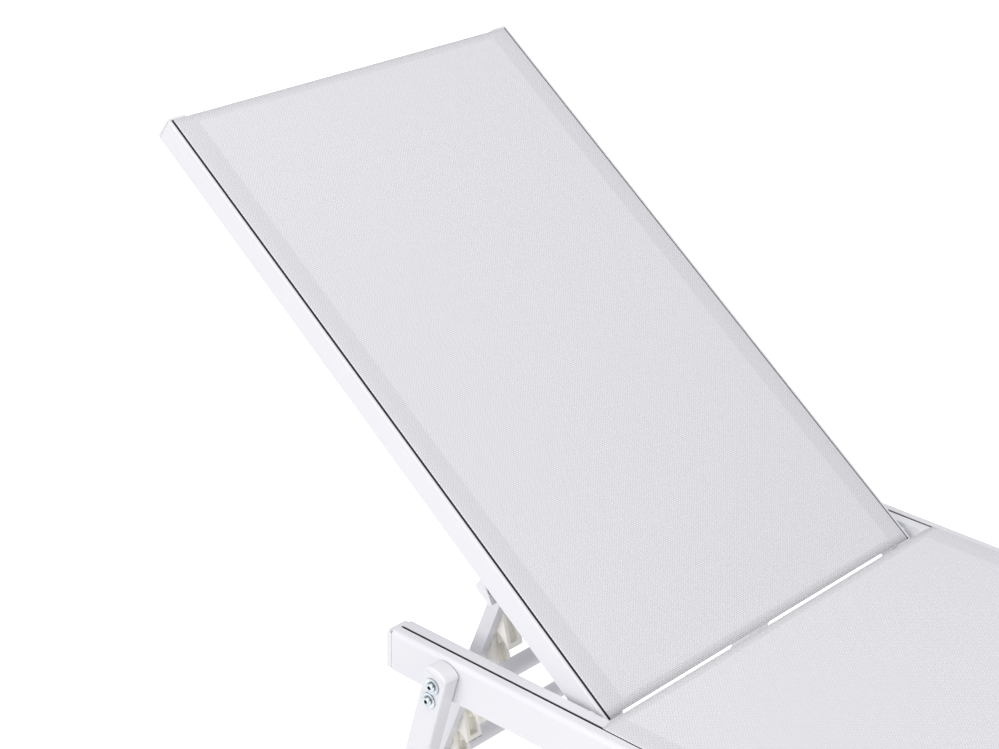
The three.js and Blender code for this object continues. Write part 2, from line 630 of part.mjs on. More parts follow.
for (const [sideName, side] of SIDES) {
  const armLow = Math.min(side * ARM_OUTER_X, side * ARM_INNER_X);
  const armHigh = armLow + ARM.thick;
  const pinHole = rodX(HINGE_PIN_R + RUNNING_CLEARANCE, armLow - CUT_PAST, armHigh + CUT_PAST);
  add(arms, `support_arm_${sideName}`,
    cut(alongX(armOutline(), armLow, armHigh), [pinHole]), WHITE_COAT);

  const rackLow = Math.min(side * RACK_OUTER_X, side * RACK_INNER_X);
  const rackHigh = rackLow + RACK.thick;
  const tools = [];
  for (let i = 0; i < NOTCH.count; i += 1) {
    const shape = notchOutline(NOTCH.first + i * NOTCH.pitch);
    tools.push(alongX(shape, rackLow - CUT_PAST, rackHigh + CUT_PAST));
  }
  tools.push(rodX(TIE_TUBE.radius + GAP, rackLow - CUT_PAST, rackHigh + CUT_PAST,
    -TIE_TUBE_FORWARD, -TIE_TUBE_DOWN, 24));
  const plate = alongX(rackOutline(), rackLow, rackHigh);
  add(arms, `rack_${sideName}`, cut(plate, tools), IVORY_PLASTIC);
}
add(arms, 'tie_tube',
  tubeX(TIE_TUBE, RACK_OUTER_X - GAP, -TIE_TUBE_FORWARD, -TIE_TUBE_DOWN), WHITE_COAT);

// ---- Origin at the middle of the bottom of the lounger's own box ----

lounger.updateMatrixWorld(true);
const bounds = new THREE.Box3().setFromObject(lounger, true);
lounger.position.set(0, -(bounds.min.y + bounds.max.y) / 2, -bounds.min.z);
lounger.updateMatrixWorld(true);

export default lounger;
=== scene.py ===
# %% [markdown]
# # A reclining sun lounger
# A white aluminium lounger with two taut mesh slings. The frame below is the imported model: every
# part already has its true size and place, in metres, with +Z up and +Y towards the head. Here the
# parts get their finish: rounded extrusion edges, woven slings with sewn hems, moulded racks and
# real screw heads. Each new piece starts from the box of the part that it stands for.

# %% Load the frame
import json
import math

import bmesh
import bpy
from mathutils import Matrix, Vector


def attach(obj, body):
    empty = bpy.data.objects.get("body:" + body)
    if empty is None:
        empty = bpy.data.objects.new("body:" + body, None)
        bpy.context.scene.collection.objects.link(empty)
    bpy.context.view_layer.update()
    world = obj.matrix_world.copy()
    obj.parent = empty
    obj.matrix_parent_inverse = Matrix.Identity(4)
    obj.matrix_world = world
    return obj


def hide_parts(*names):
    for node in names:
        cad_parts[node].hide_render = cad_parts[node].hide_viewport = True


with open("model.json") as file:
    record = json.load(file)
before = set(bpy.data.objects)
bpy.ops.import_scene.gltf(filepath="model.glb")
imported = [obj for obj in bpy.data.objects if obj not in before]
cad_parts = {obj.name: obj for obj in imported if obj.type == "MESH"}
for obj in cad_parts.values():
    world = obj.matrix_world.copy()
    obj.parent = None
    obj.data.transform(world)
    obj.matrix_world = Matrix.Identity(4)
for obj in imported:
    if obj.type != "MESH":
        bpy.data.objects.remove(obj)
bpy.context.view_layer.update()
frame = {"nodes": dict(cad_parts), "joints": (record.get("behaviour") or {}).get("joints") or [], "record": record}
MM = 0.001
SIDES = {"right": -1, "left": 1}

# %% [markdown]
# ## Camera
# The lounger is seen from the foot end on its right-hand side, a little above it, and close enough
# that only the backrest and the first part of the seat are in view. A long lens keeps the rails
# nearly parallel. The camera is turned about Z first, then tipped down, then rolled a little.

# %% Camera
CAMERA_PLACE = Vector((-1.70935, -0.919785, 1.52942))
CAMERA_AZIMUTH = math.radians(-47.477)
CAMERA_ELEVATION = math.radians(24.326)
CAMERA_ROLL = math.radians(1.0157)
LENS_MM = 81.65
SENSOR_WIDTH_MM = 36.0
FARTHEST_SEEN = 60.0

camera_data = bpy.data.cameras.new("camera")
camera_data.sensor_fit = "HORIZONTAL"
camera_data.sensor_width = SENSOR_WIDTH_MM
camera_data.lens = LENS_MM
camera_data.clip_end = FARTHEST_SEEN
camera = bpy.data.objects.new("camera", camera_data)
bpy.context.scene.collection.objects.link(camera)
camera.matrix_world = (
    Matrix.Translation(CAMERA_PLACE)
    @ Matrix.Rotation(CAMERA_AZIMUTH, 4, "Z")
    @ Matrix.Rotation(math.pi / 2 - CAMERA_ELEVATION, 4, "X")
    @ Matrix.Rotation(CAMERA_ROLL, 4, "Z")
)
bpy.context.scene.camera = camera
print("camera at", tuple(round(v, 3) for v in CAMERA_PLACE))

# %% [markdown]
# ## Floor and light
# White things are hardest to light: with too much light every face turns into the same white. The
# floor glows by itself, so the ground stays a clean white, but it is kept out of the diffuse
# light, because a glowing floor would wash out the undersides. A wide soft light on the
# right-hand side makes the outer faces of the rails the brightest, one from above lights the
# slings, and the sky fills the rest. A small light near the ground is meant for the racks under
# the backrest. It stands so close to the side rail that it burns out the rail's foot half there.
# Plain colour management keeps the whites white.

# %% Floor
bpy.context.scene.view_settings.view_transform = "Standard"
FLOOR_HALF = 20
FLOOR_GLOW = 0.7


def principled(name):
    """A new material, with its node tree and its shader."""
    material = bpy.data.materials.new(name)
    material.use_nodes = True
    tree = material.node_tree
    return material, tree, tree.nodes["Principled BSDF"]


floor_paint, floor_tree, floor_shader = principled("studio floor")
floor_shader.inputs["Base Color"].default_value = (0.93, 0.93, 0.93, 1)
floor_shader.inputs["Roughness"].default_value = 0.9
floor_shader.inputs["Emission Color"].default_value = (1, 1, 1, 1)
floor_shader.inputs["Emission Strength"].default_value = FLOOR_GLOW
floor_shape = bmesh.new()
bmesh.ops.create_grid(floor_shape, x_segments=1, y_segments=1, size=FLOOR_HALF)
floor_mesh = bpy.data.meshes.new("floor")
floor_shape.to_mesh(floor_mesh)
floor_shape.free()
floor = bpy.data.objects.new("floor", floor_mesh)
floor.data.materials.append(floor_paint)
bpy.context.scene.collection.objects.link(floor)
floor.visible_diffuse = False
print("floor", 2 * FLOOR_HALF, "m wide")

# %% Light
sky = bpy.data.worlds.new("soft studio sky")
sky.use_nodes = True
sky.node_tree.nodes["Background"].inputs["Color"].default_value = (0.975, 0.98, 1.0, 1)
sky.node_tree.nodes["Background"].inputs["Strength"].default_value = 0.67
bpy.context.scene.world = sky


def soft_light(name, place, aim, size, power):
    """A square area light at place that shines at aim and isn't seen itself."""
    data = bpy.data.lights.new(name, "AREA")
    data.shape = "SQUARE"
    data.size = size
    data.energy = power
    light = bpy.data.objects.new(name, data)
    towards = Vector(aim) - Vector(place)
    turn = towards.to_track_quat("-Z", "Y").to_matrix().to_4x4()
    light.matrix_world = Matrix.Translation(place) @ turn
    light.visible_camera = False
    bpy.context.scene.collection.objects.link(light)


soft_light("side light", (-3.2, 0.6, 1.3), (0, 0.3, 0.4), 2.4, 50)
soft_light("low light", (-0.5, -0.5, 0.06), (0.1, 0.4, 0.3), 0.7, 2.2)
soft_light("top light", (-0.7, -0.2, 3.4), (0, 0.2, 0.4), 2.6, 42)

# %% [markdown]
# ## Paint, plastic and metal
# Powder coat is baked on as dust, so it never lies quite flat: it has a very fine orange-peel
# grain and a soft sheen. A moulded part is duller, with a fine grain from the mould. Zinc plate
# is brushed by handling, so its gloss is patchy. One function builds them all: a low, wide noise
# shifts the colour slightly, and a fine noise feeds the bump. Both read Object coordinates, which
# are metres here, so a noise scale is simply the number of grains in a metre. Down in a narrow
# slot the colour is painted nearly black as painted shade, and a groove attribute on a piece says where.

# %% A solid finish
# painted shade: the near-black colour painted down in slots and grooves
PAINTED_GROOVE_SHADE = (0.035, 0.035, 0.04)
PATCH_LOW, PATCH_HIGH = 0.3, 0.7
GRAIN_STRENGTH = 0.35


def mixed(tree, factor, low, high):
    """Two colours mixed by a socket."""
    mix = tree.nodes.new("ShaderNodeMix")
    mix.data_type = "RGBA"
    mix.inputs["A"].default_value = (*low, 1)
    mix.inputs["B"].default_value = (*high, 1)
    tree.links.new(factor, mix.inputs["Factor"])
    return mix.outputs["Result"]


def noise(tree, coordinates, per_metre, detail=3.0):
    """A noise with so many grains to the metre."""
    node = tree.nodes.new("ShaderNodeTexNoise")
    node.inputs["Scale"].default_value = per_metre
    node.inputs["Detail"].default_value = detail
    tree.links.new(coordinates, node.inputs["Vector"])
    return node.outputs["Fac"]


def remapped(tree, value, low, high, new_low, new_high):
    """A value moved from one range to another."""
    node = tree.nodes.new("ShaderNodeMapRange")
    node.inputs["From Min"].default_value = low
    node.inputs["From Max"].default_value = high
    node.inputs["To Min"].default_value = new_low
    node.inputs["To Max"].default_value = new_high
    tree.links.new(value, node.inputs["Value"])
    return node.outputs["Result"]


def bumped(tree, shader, height, distance, strength):
    """A bump of so many metres on a shader."""
    node = tree.nodes.new("ShaderNodeBump")
    node.inputs["Distance"].default_value = distance
    node.inputs["Strength"].default_value = strength
    tree.links.new(height, node.inputs["Height"])
    tree.links.new(node.outputs["Normal"], shader.inputs["Normal"])


def with_painted_groove_shade(tree, colour):
    """The same colour, painted nearly black as shade where a piece's groove attribute is 1."""
    groove = tree.nodes.new("ShaderNodeAttribute")
    groove.attribute_name = "groove"
    groove_shaded = mixed(tree, groove.outputs["Fac"], (1, 1, 1), PAINTED_GROOVE_SHADE)
    tree.links.new(colour, groove_shaded.node.inputs["A"])
    return groove_shaded


def solid_finish(name, dark, light, roughness, grain, depth, metallic=0.0, patches=9.0):
    """A finish with two close colours, a roughness range and a fine grain."""
    material, tree, shader = principled(name)
    coordinates = tree.nodes.new("ShaderNodeTexCoord").outputs["Object"]
    patchy = noise(tree, coordinates, patches)
    fine = noise(tree, coordinates, grain, 2.0)
    patch = remapped(tree, patchy, PATCH_LOW, PATCH_HIGH, 0.0, 1.0)
    gloss = remapped(tree, patchy, PATCH_LOW, PATCH_HIGH, *roughness)
    colour = mixed(tree, patch, dark, light)
    # painted shade in the grooves darkens the base colour
    tree.links.new(with_painted_groove_shade(tree, colour), shader.inputs["Base Color"])
    tree.links.new(gloss, shader.inputs["Roughness"])
    shader.inputs["Metallic"].default_value = metallic
    bumped(tree, shader, fine, depth, GRAIN_STRENGTH)
    print("finish", name, "with", grain, "grains to the metre")
    return material


FINISH = {
    "white_powder_coat": solid_finish(
        "white powder coat", (0.700, 0.698, 0.730), (0.722, 0.720, 0.748), (0.36, 0.46), 850, 0.00005),
    "white_plastic": solid_finish(
        "white moulded plastic", (0.715, 0.714, 0.742), (0.735, 0.734, 0.758), (0.46, 0.56), 1500, 0.00003),
    "ivory_plastic": solid_finish(
        "ivory moulded plastic", (0.900, 0.872, 0.800), (0.935, 0.915, 0.860), (0.40, 0.52), 1200, 0.00004),
    "zinc_fastener": solid_finish(
        "zinc plate", (0.330, 0.365, 0.395), (0.560, 0.600, 0.630), (0.24, 0.40), 2500, 0.00002,
        metallic=1.0, patches=160.0),
}

# %% [markdown]
# ## Mesh cloth
# The slings are woven from plastic-coated yarn, about two millimetres from one crossing to the
# next. Warp runs along the lounger and weft across it. Drawing every yarn as geometry would take
# millions of faces, so the weave is worked out from the cloth's own UV map, which is in metres.
# A sine of the distance is high on a yarn and zero between two, and the product of the warp's
# and the weft's sines says which of them is on top. A yarn that dips under another is painted
# darker as painted shade, and where both are low the small gap is painted dark as painted shade.
# An attribute called layers says how many layers of cloth lie there, because a hem looks darker.

# %% Woven cloth
YARN_PITCH = 1.95 * MM
YARN_BELOW_PAINTED_SHADE = (0.70, 0.693, 0.72)
YARN_ON_TOP = (0.86, 0.852, 0.88)
GAP_PAINTED_SHADE = (0.47, 0.465, 0.49)
HEM_TINT = (0.925, 0.922, 0.925, 1)
GAP_HEIGHT, YARN_HEIGHT = 0.12, 0.5
WEAVE_DEPTH = 0.5 * MM
WEAVE_STRENGTH = 0.6


def sum_of(tree, operation, first, second=None):
    """A Math node on sockets or numbers."""
    node = tree.nodes.new("ShaderNodeMath")
    node.operation = operation
    for socket, value in zip(node.inputs, (first, second)):
        if isinstance(value, (int, float)):
            socket.default_value = value
        elif value is not None:
            tree.links.new(value, socket)
    return node.outputs["Value"]


def woven_cloth(name):
    """White mesh cloth, woven by sums on its UV map, with painted shade under crossing yarns, between yarns and in
    the slots.
    """
    material, tree, shader = principled(name)
    uv = tree.nodes.new("ShaderNodeTexCoord").outputs["UV"]
    parts = tree.nodes.new("ShaderNodeSeparateXYZ")
    tree.links.new(uv, parts.inputs["Vector"])
    across = sum_of(tree, "SINE", sum_of(tree, "MULTIPLY", parts.outputs["X"], math.pi / YARN_PITCH))
    along = sum_of(tree, "SINE", sum_of(tree, "MULTIPLY", parts.outputs["Y"], math.pi / YARN_PITCH))
    warp = sum_of(tree, "ABSOLUTE", across)
    weft = sum_of(tree, "ABSOLUTE", along)
    over = sum_of(tree, "MULTIPLY", across, along)
    half = sum_of(tree, "MULTIPLY", over, 0.5)
    warp_height = sum_of(tree, "MULTIPLY", warp, sum_of(tree, "ADD", 0.5, half))
    weft_height = sum_of(tree, "MULTIPLY", weft, sum_of(tree, "SUBTRACT", 0.5, half))
    height = sum_of(tree, "MAXIMUM", warp_height, weft_height)
    yarn = remapped(tree, height, GAP_HEIGHT, YARN_HEIGHT, 0.0, 1.0)
    # painted shade: the yarn dipping under another is darker, and the gaps between yarns are dark
    yarn_painted_shade = mixed(tree, sum_of(tree, "ADD", 0.5, half), YARN_BELOW_PAINTED_SHADE, YARN_ON_TOP)
    cloth = mixed(tree, yarn, GAP_PAINTED_SHADE, (1, 1, 1))
    tree.links.new(yarn_painted_shade, cloth.node.inputs["B"])
    layers = tree.nodes.new("ShaderNodeAttribute")
    layers.attribute_name = "layers"
    hem = tree.nodes.new("ShaderNodeMix")
    hem.data_type = "RGBA"
    hem.blend_type = "MULTIPLY"
    hem.inputs["B"].default_value = HEM_TINT
    tree.links.new(layers.outputs["Fac"], hem.inputs["Factor"])
    tree.links.new(cloth, hem.inputs["A"])
    # painted shade in the slots darkens the cloth
    shaded = with_painted_groove_shade(tree, hem.outputs["Result"])
    tree.links.new(shaded, shader.inputs["Base Color"])
    shader.inputs["Roughness"].default_value = 0.62
    shader.inputs["Sheen Weight"].default_value = 0.08
    bumped(tree, shader, height, WEAVE_DEPTH, WEAVE_STRENGTH)
    print("finish", name, "with a yarn each", round(YARN_PITCH / MM, 2), "mm")
    return material


FINISH["mesh_fabric"] = woven_cloth("white mesh cloth")

# %% [markdown]
# ## Places and helpers
# The backrest leans, the arms hang at an angle and the legs splay, so each of them is drawn in a
# place of its own: flat, with its length along Y and its top towards +Z, and then turned once
# into position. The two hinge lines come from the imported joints. A finished piece keeps its place
# in its mesh, rides on the body that its CAD part rides on, and takes that part's finish.

# %% Places
joints = {joint["name"]: joint for joint in frame["joints"]}
BACK_ANGLE = math.radians(36.24)
ARM_ANGLE = math.radians(20.4)
LEG_SPLAY = math.radians(14.85)


def place_at(point, angle):
    """A place whose X axis is the lounger's, turned about X."""
    return Matrix.Translation(point) @ Matrix.Rotation(angle, 4, "X")


LEVEL = Matrix.Identity(4)
BACK = place_at(joints["backrest_recline"]["pos_m"], BACK_ANGLE)
ARMS = place_at(joints["support_arm_swing"]["pos_m"], ARM_ANGLE)


def local_box(node, place=LEVEL):
    """The lowest and highest corner of a CAD part, measured in a place."""
    back = place.inverted()
    points = [back @ vertex.co for vertex in frame["nodes"][node].data.vertices]
    low = Vector(min(p[axis] for p in points) for axis in range(3))
    high = Vector(max(p[axis] for p in points) for axis in range(3))
    return low, high


def millimetres(vector):
    return tuple(round(v / MM, 1) for v in vector)


print("backrest pivot", millimetres(BACK.translation), "arm hinge", millimetres(ARMS.translation))

# %% Finishing a piece
body_of_part = {n: b for b, names in frame["record"]["behaviour"]["bodies"].items() for n in names}
SMOOTH_BELOW = math.radians(40)


def finished(shape, name, like, place=LEVEL, replaces=True, slot=None):
    """Makes a piece of a bmesh that rides, and is finished, as a CAD part is."""
    bmesh.ops.transform(shape, matrix=place, verts=shape.verts)
    mesh = bpy.data.meshes.new(name)
    shape.to_mesh(mesh)
    shape.free()
    piece = bpy.data.objects.new(name, mesh)
    bpy.context.scene.collection.objects.link(piece)
    mesh.shade_smooth()
    mesh.set_sharp_from_angle(angle=SMOOTH_BELOW)
    weighted = piece.modifiers.new("flat faces stay flat", "WEIGHTED_NORMAL")
    weighted.keep_sharp = True
    finish = slot or slot_of_part[like]
    mesh.materials.append(FINISH[finish])
    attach(piece, body_of_part[like])
    if replaces:
        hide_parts(like)
    return piece


# %% The finish of each part
def slot_by_name(node):
    """The material slot that a part's name stands for."""
    if "sling" in node:
        return "mesh_fabric"
    if "screw" in node or "washer" in node or "bolt" in node or "pin_" in node:
        return "zinc_fastener"
    if node.startswith("rack"):
        return "ivory_plastic"
    if "cap" in node or node.startswith("foot") or "spacer" in node:
        return "white_plastic"
    return "white_powder_coat"


slot_of_part = {node: slot_by_name(node) for node in frame["nodes"]}
for node, part in frame["nodes"].items():
    part.data.materials.clear()
    part.data.materials.append(FINISH[slot_of_part[node]])
print({slot: list(slot_of_part.values()).count(slot) for slot in FINISH})

# %% [markdown]
# ## Extrusions and mouldings with eased edges
# No real edge is sharp. An aluminium extrusion leaves its die with small radii and a moulding
# with larger ones, and those thin bright lines are what makes a white object readable. Each part
# below is a copy of its CAD part: the loose triangles are merged, flat ones are dissolved into
# whole faces, and every sharp edge is bevelled. The faces keep their place, so nothing grows.

# %% Sizes that the CAD parts don't say by themselves
RAIL_SLOT = {
    "side_rail": {"groove": 14.5 * MM, "bead": 3.5 * MM, "deep": 9 * MM},
    "backrest_rail": {"groove": 5.2 * MM, "bead": 3.0 * MM, "deep": 8 * MM},
}
LIP = 0.9 * MM
EDGE = 0.3 * MM
HOOK_FRONT = 90 * MM * MM  # least area of a hook's front face
ALIGNED = 0.99  # cosine above which a face looks one way
HOOK_ALIGNED = 0.75  # the same for the leaning front of a hook
POCKET_CORNERS = 12  # a face with more corners has had them rounded

BRACKET_WALL = 2.4 * MM
BRACKET_CORE = 2.8 * MM
HOOK_WALL = 4.5 * MM
HOOK_POCKET = 7 * MM
HOOK_ROUND = 3.5 * MM

# %% Which way a cap's seam faces
INTO_JOINT = {
    "rail_cap_head": Vector((0, -1, 0)),
    "rail_cap_foot": Vector((0, 1, 0)),
    "backrest_cap_head": BACK.to_3x3() @ Vector((0, -1, 0)),
    "backrest_cap_low": BACK.to_3x3() @ Vector((0, 1, 0)),
    "leg_cap_head": Matrix.Rotation(LEG_SPLAY, 3, "X") @ Vector((0, 0, -1)),
    "leg_cap_foot": Matrix.Rotation(-LEG_SPLAY, 3, "X") @ Vector((0, 0, -1)),
}

# %% Eased copies
def merged_copy(node):
    """A bmesh of a CAD part with its triangles merged into whole faces."""
    shape = bmesh.new()
    shape.from_mesh(frame["nodes"][node].data)
    bmesh.ops.remove_doubles(shape, verts=shape.verts, dist=1e-6)
    bmesh.ops.dissolve_limit(
        shape, angle_limit=math.radians(1), verts=shape.verts, edges=shape.edges)
    return shape


def ease(shape, width, segments=3, into=None):
    """Bevels every sharp edge of a bmesh, apart from those of faces that look into a joint."""
    sharp = [e for e in shape.edges if e.is_manifold and e.calc_face_angle() > SMOOTH_BELOW]
    if into:
        sharp = [e for e in sharp if all(f.normal.dot(into) < ALIGNED for f in e.link_faces)]
    bmesh.ops.bevel(
        shape, geom=sharp, offset=width, offset_type="OFFSET", affect="EDGES",
        segments=segments, profile=0.5, material=-1, clamp_overlap=True)


EASE = {
    "side_rail": 0.5 * MM, "backrest_rail": 0.3 * MM, "leg_head": 0.4 * MM, "leg_foot": 0.4 * MM,
    "rail_cap": 1.0 * MM, "backrest_cap": 0.5 * MM, "leg_cap": 2.2 * MM, "foot": 1.5 * MM,
    "hinge_bracket": 0.8 * MM, "support_arm": 1.0 * MM, "rack": 1.4 * MM,
}


def hollow_underside(shape, wall, depth):
    """Sinks the face that looks down from the backrest, as a moulding is cored."""
    down = -(BACK.to_3x3() @ Vector((0, 0, 1)))
    facing = [face for face in shape.faces if face.normal.dot(down) > ALIGNED]
    underside = max(facing, key=lambda face: face.calc_area())
    bmesh.ops.inset_region(shape, faces=[underside], thickness=wall, use_even_offset=True)
    sunk = bmesh.ops.extrude_face_region(shape, geom=[underside])["geom"]
    corners = [item for item in sunk if isinstance(item, bmesh.types.BMVert)]
    bmesh.ops.delete(shape, geom=[underside], context="FACES_ONLY")
    bmesh.ops.translate(shape, vec=-depth * down, verts=corners)


def core_hooks(shape, wall, depth, corner):
    """Sinks a pocket with round ends in the front of every hook of a rack."""
    forward = ARMS.to_3x3() @ Vector((0, -1, 0))
    fronts = [
        face for face in shape.faces
        if face.normal.dot(forward) > HOOK_ALIGNED and face.calc_area() > HOOK_FRONT]
    bmesh.ops.inset_individual(shape, faces=fronts, thickness=wall, use_even_offset=True)
    corners = list({vertex for face in fronts for vertex in face.verts})
    bmesh.ops.bevel(
        shape, geom=corners, offset=corner, offset_type="OFFSET", affect="VERTICES",
        segments=4, profile=0.5, material=-1, clamp_overlap=True)
    pockets = [
        face for face in shape.faces
        if face.normal.dot(forward) > HOOK_ALIGNED and len(face.verts) > POCKET_CORNERS]
    sunk = bmesh.ops.extrude_discrete_faces(shape, faces=pockets)["faces"]
    for face in sunk:
        bmesh.ops.translate(shape, vec=-depth * face.normal, verts=face.verts)


def mark_painted_groove_shade(shape, node):
    """Sets the groove attribute to 1 below the lips of a rail's slot, where shade is painted."""
    place = BACK if node.startswith("backrest") else LEVEL
    rail = RAIL_SLOT["backrest_rail" if node.startswith("backrest") else "side_rail"]
    low, high = local_box(node, place)
    outer = high.x if high.x > 0 else low.x
    slot = outer - math.copysign(rail["groove"], outer)
    groove = shape.verts.layers.float.new("groove")
    back = place.inverted()
    for vertex in shape.verts:
        point = back @ vertex.co
        sunk = high.z - point.z
        vertex[groove] = abs(point.x - slot) < rail["bead"] + EDGE and LIP < sunk < rail["deep"]


def eased(node, width):
    """A piece that is a CAD part with eased edges."""
    shape = merged_copy(node)
    if node.startswith("hinge_bracket"):
        hollow_underside(shape, BRACKET_WALL, BRACKET_CORE)
    if node.startswith("rack"):
        core_hooks(shape, HOOK_WALL, HOOK_POCKET, HOOK_ROUND)
    into = [way for start, way in INTO_JOINT.items() if node.startswith(start)]
    ease(shape, width, into=into[0] if into else None)
    if "rail_" in node and "cap" not in node:
        mark_painted_groove_shade(shape, node)
    return finished(shape, node + "_eased", node)


for kind, width in EASE.items():
    made = [eased(node, width) for node in frame["nodes"] if node.startswith(kind)]
    print(kind, len(made), "pieces,", sum(len(p.data.polygons) for p in made), "faces")

# %% [markdown]
# ## Tubes, bolts and washers
# Anything round is turned: a half outline of a few points is spun about the X axis, which is the
# way all the round parts of this lounger lie. The points are distance along the axis and radius.
# The CAD parts are round only to 16 sides, so they are made again here with 64.

# %% Turning
SPIN_STEPS = 64
TUBE_WALL = 1.5 * MM
BACK_TUBE_WALL = 1.3 * MM
BROKEN_EDGE = 0.3 * MM


def turned(outline, steps=SPIN_STEPS):
    """A closed bmesh spun about X from points of distance along X and radius."""
    shape = bmesh.new()
    corners = [shape.verts.new((along, 0, radius)) for along, radius in outline]
    lines = [shape.edges.new(pair) for pair in zip(corners, corners[1:])]
    bmesh.ops.spin(
        shape, geom=corners + lines, cent=(0, 0, 0), axis=(1, 0, 0), angle=2 * math.pi,
        steps=steps, use_merge=True)
    bmesh.ops.remove_doubles(shape, verts=shape.verts, dist=1e-6)
    bmesh.ops.recalc_face_normals(shape, faces=shape.faces)
    return shape


def centre_of(node, place=LEVEL):
    """The middle of a CAD part's box, in a place."""
    low, high = local_box(node, place)
    return (low + high) / 2


def tube_piece(node, wall, place=LEVEL):
    """A round tube along X, open at both ends, with its cut edges broken."""
    low, high = local_box(node, place)
    middle = (low + high) / 2
    half = (high.x - low.x) / 2
    radius = (high.z - low.z) / 2
    broken = BROKEN_EDGE
    outline = [
        (broken - half, radius), (half - broken, radius), (half, radius - broken),
        (half, radius - wall), (-half, radius - wall), (-half, radius - broken),
        (broken - half, radius),
    ]
    shape = turned(outline)
    bmesh.ops.translate(shape, vec=middle, verts=shape.verts)
    return finished(shape, node + "_turned", node, place)


tubes = [
    tube_piece("seat_cross_tube_middle", TUBE_WALL),
    tube_piece("seat_cross_tube_foot", TUBE_WALL),
    tube_piece("latch_bar", TUBE_WALL),
    tube_piece("backrest_cross_tube_low", BACK_TUBE_WALL, BACK),
    tube_piece("backrest_cross_tube_high", BACK_TUBE_WALL, BACK),
    tube_piece("tie_tube", TUBE_WALL, ARMS),
]
print([tube.name for tube in tubes])

# %% [markdown]
# ## Screws
# The legs are held by button-head socket screws on wide washers. The head is a shallow dome, and
# its hexagon socket can't be turned, so the dome is spun with a round hole in it and a hexagon is
# bridged to the hole's rim, pushed in, and closed by a floor. The hexagon needs as many points as
# the rim has, so its six sides are subdivided first.

# %% A socket screw
HEAD_SIDES = 48
SOCKET_KEY = 4 * MM
SOCKET_DEPTH = 2 * MM
RIM_SHARE = 0.62  # radius of the hole in the dome, of the head's
SKIRT_SHARE = 0.25  # straight part of a head, of its height
CROWN_RISE = 0.06
TIP_SHARE = 0.8
TIP_LENGTH = 0.3


def dome(start, width, height, steps=6):
    """Points of a quarter ellipse from a head's rim up to its crown."""
    turns = [math.pi / 2 * i / steps for i in range(steps)]
    return [(start + height * math.sin(a), width * math.cos(a)) for a in turns]


def socket_screw(tip, seat, shank, head, height):
    """A screw along +X whose head stands on seat, with a hexagon socket."""
    rim = RIM_SHARE * head
    skirt = SKIRT_SHARE * height
    arch = [p for p in dome(seat + skirt, head, height - skirt) if p[1] > rim]
    crown = arch[-1][0] + CROWN_RISE * height
    outline = [
        (tip, 0), (tip, TIP_SHARE * shank), (tip + TIP_LENGTH * shank, shank),
        (seat, shank), (seat, head)]
    outline += arch + [(crown, rim)]
    shape = turned(outline, HEAD_SIDES)
    open_rim = [edge for edge in shape.edges if edge.is_boundary]
    hexagon = bmesh.ops.create_circle(
        shape, cap_ends=False, segments=6, radius=SOCKET_KEY / math.sqrt(3),
        matrix=Matrix.Translation((crown, 0, 0)) @ Matrix.Rotation(math.pi / 2, 4, "Y"))
    sides = list({edge for vertex in hexagon["verts"] for edge in vertex.link_edges})
    bmesh.ops.subdivide_edges(shape, edges=sides, cuts=HEAD_SIDES // 6 - 1)
    inner = [edge for edge in shape.edges if edge.is_wire]
    bmesh.ops.bridge_loops(shape, edges=open_rim + inner)
    inner = [edge for edge in shape.edges if edge.is_boundary]
    wall = bmesh.ops.extrude_edge_only(shape, edges=inner)["geom"]
    deep = [item for item in wall if isinstance(item, bmesh.types.BMVert)]
    bmesh.ops.translate(shape, vec=(-SOCKET_DEPTH, 0, 0), verts=deep)
    floor_edges = [edge for edge in shape.edges if edge.is_boundary]
    bmesh.ops.contextual_create(shape, geom=floor_edges)
    bmesh.ops.recalc_face_normals(shape, faces=shape.faces)
    return shape


def leg_place(end, name):
    """The place whose Z axis is a leg's own, through one of its screws."""
    low, high = local_box(name)
    turn = LEG_SPLAY if end == "head" else -LEG_SPLAY
    return place_at((0, (low.y + high.y) / 2, (low.z + high.z) / 2), turn)


def on_side(shape, side):
    """A piece drawn along +X, turned half round for the right-hand side."""
    if side < 0:
        bmesh.ops.rotate(
            shape, cent=(0, 0, 0), matrix=Matrix.Rotation(math.pi, 3, "Z"), verts=shape.verts)
    return shape


def reach(node, side):
    """The nearest and furthest distance of a part from the middle plane."""
    low, high = local_box(node)
    return (low.x, high.x) if side > 0 else (-high.x, -low.x)


SCREW_SHANK = 3 * MM
SCREW_HEAD = 5.4 * MM
SCREW_HEAD_HEIGHT = 3.4 * MM
WASHER_HOLE = 3.2 * MM
WASHER_EDGE = 0.25 * MM

for end in ("head", "foot"):
    for side_name, side in SIDES.items():
        for number in (1, 2):
            tag = f"{end}_{side_name}_{number}"
            place = leg_place(end, "leg_washer_" + tag)
            inner, outer = reach("leg_washer_" + tag, side)
            wide = local_box("leg_washer_" + tag, place)[1].z
            broken = WASHER_EDGE
            ring = [
                (inner, WASHER_HOLE), (inner, wide - broken), (inner + broken, wide),
                (outer - broken, wide), (outer, wide - broken), (outer, WASHER_HOLE),
                (inner, WASHER_HOLE)]
            finished(on_side(turned(ring), side), f"leg_washer_{tag}_turned",
                     "leg_washer_" + tag, place)
            tip, crown = reach("leg_screw_" + tag, side)
            screw = socket_screw(
                tip, crown - SCREW_HEAD_HEIGHT, SCREW_SHANK, SCREW_HEAD, SCREW_HEAD_HEIGHT)
            finished(on_side(screw, side), f"leg_screw_{tag}_socket", "leg_screw_" + tag, place)

